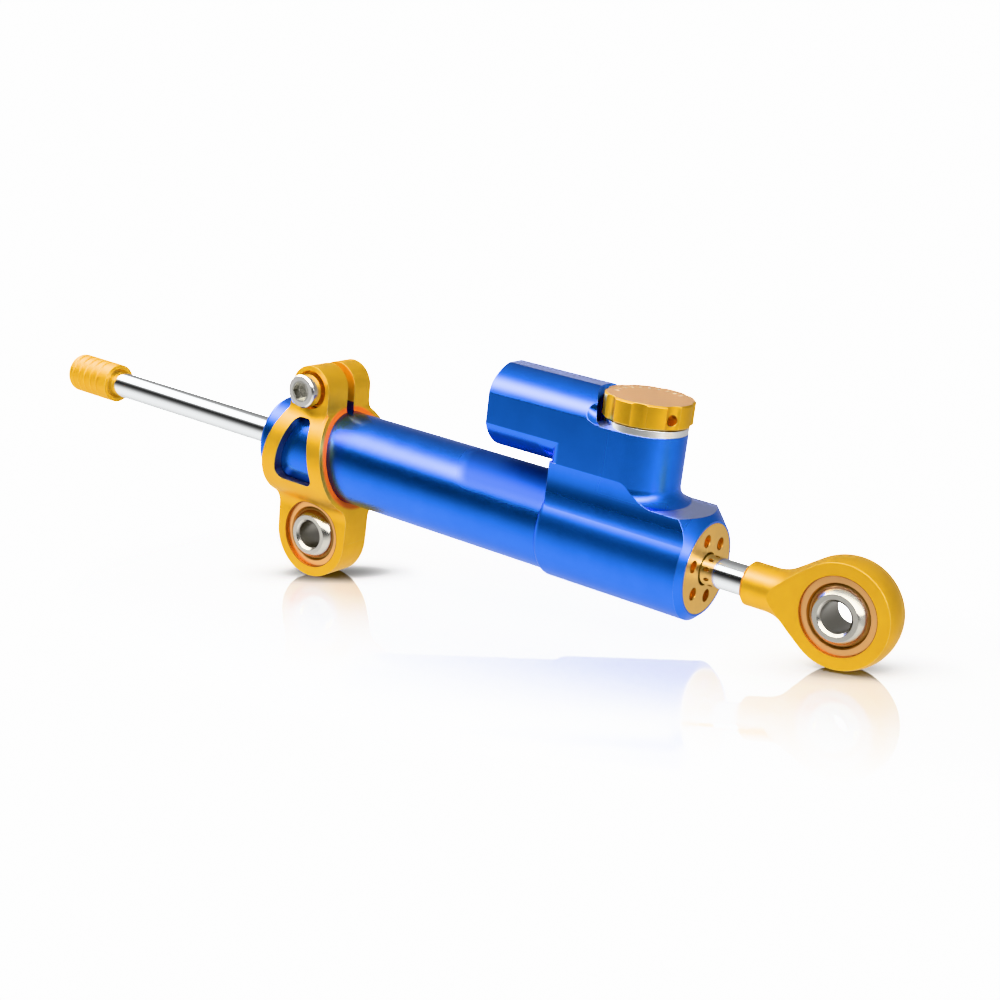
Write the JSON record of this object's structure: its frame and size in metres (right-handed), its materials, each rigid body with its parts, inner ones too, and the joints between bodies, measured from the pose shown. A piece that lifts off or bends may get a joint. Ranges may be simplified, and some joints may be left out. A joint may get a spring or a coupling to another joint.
{
  "type": "steering damper",
  "caption": "Linear through-rod steering damper with adjuster knob, reservoir, spherical rod end and a pinch clamp with a bearing lug.",
  "frame": {"origin": "centre of the rod end's bearing bore", "axes": "+X along the barrel towards the rod end, +Z towards the adjuster knob, +Y along the bearing bores"},
  "size_m": [0.2907, 0.0326, 0.0792],
  "materials": {
    "blue_anodised": "bright turned and blue anodised",
    "gold_anodised": "satin blasted and gold anodised",
    "bare_aluminium": "fine turned, clear anodised",
    "hard_chrome": "ground and hard chromed",
    "bearing_steel": "ground bearing steel",
    "steel": "machined steel",
    "bronze": "turned bronze",
    "rubber": "moulded nitrile",
    "ptfe": "bronze-filled sliding plastic"
  },
  "bodies": {
    "body": {"barrel_tube": "blue_anodised", "liner_tube": "steel", "liner_oring": "rubber", "spigot_oring": "rubber", "rear_bush": "bronze", "rear_rod_seal": "rubber", "head_housing": "blue_anodised", "gland_cap": "gold_anodised", "gland_oring": "rubber", "front_bush": "bronze", "front_rod_seal": "rubber", "reservoir_plug": "gold_anodised", "plug_oring": "rubber", "plug_circlip": "steel", "index_ring": "bare_aluminium", "spindle_gland": "steel", "spindle_oring": "rubber"},
    "ring": {"piston_ring": "ptfe"},
    "rod": {"piston_rod": "hard_chrome", "piston": "bare_aluminium", "piston_clips": "steel", "rod_end": "gold_anodised", "rod_end_race": "bronze", "rear_sleeve": "gold_anodised"},
    "rod_end_ball": {"rod_end_ball": "bearing_steel"},
    "clamp": {"clamp": "gold_anodised", "pinch_bolt": "bearing_steel", "bolt_washer": "gold_anodised", "lug_race": "bronze"},
    "lug_ball": {"lug_ball": "bearing_steel"},
    "knob": {"knob": "gold_anodised", "adjuster_spindle": "steel", "knob_set_screw": "steel", "detent_ball": "steel", "detent_spring": "steel"},
    "floating_piston": {"floating_piston": "bare_aluminium", "floater_oring": "rubber"}
  },
  "joints": [
    {"name": "rod_slide", "type": "slide", "parent": "body", "child": "ring", "axis": [1, 0, 0], "range_m": [-0.011, 0.072]},
    {"name": "rod_spin", "type": "hinge", "parent": "ring", "child": "rod", "pos_m": [-0.14, 0, 0], "axis": [1, 0, 0], "continuous": true},
    {"name": "rod_end_tilt", "type": "hinge", "parent": "rod", "child": "rod_end_ball", "pos_m": [0, 0, 0], "axis": [1, 0, 0], "range_deg": [-10, 10]},
    {"name": "clamp_slide", "type": "slide", "parent": "body", "child": "clamp", "axis": [1, 0, 0], "range_m": [-0.003, 0.046]},
    {"name": "lug_tilt", "type": "hinge", "parent": "clamp", "child": "lug_ball", "pos_m": [-0.1666, 0, -0.0257], "axis": [1, 0, 0], "range_deg": [-10, 10]},
    {"name": "knob_turn", "type": "hinge", "parent": "body", "child": "knob", "pos_m": [-0.0613, 0, 0.034], "axis": [0, 0, 1], "range_deg": [0, 270]},
    {"name": "floating_piston_slide", "type": "slide", "parent": "body", "child": "floating_piston", "axis": [1, 0, 0], "range_m": [-0.004, 0.003]}
  ]
}
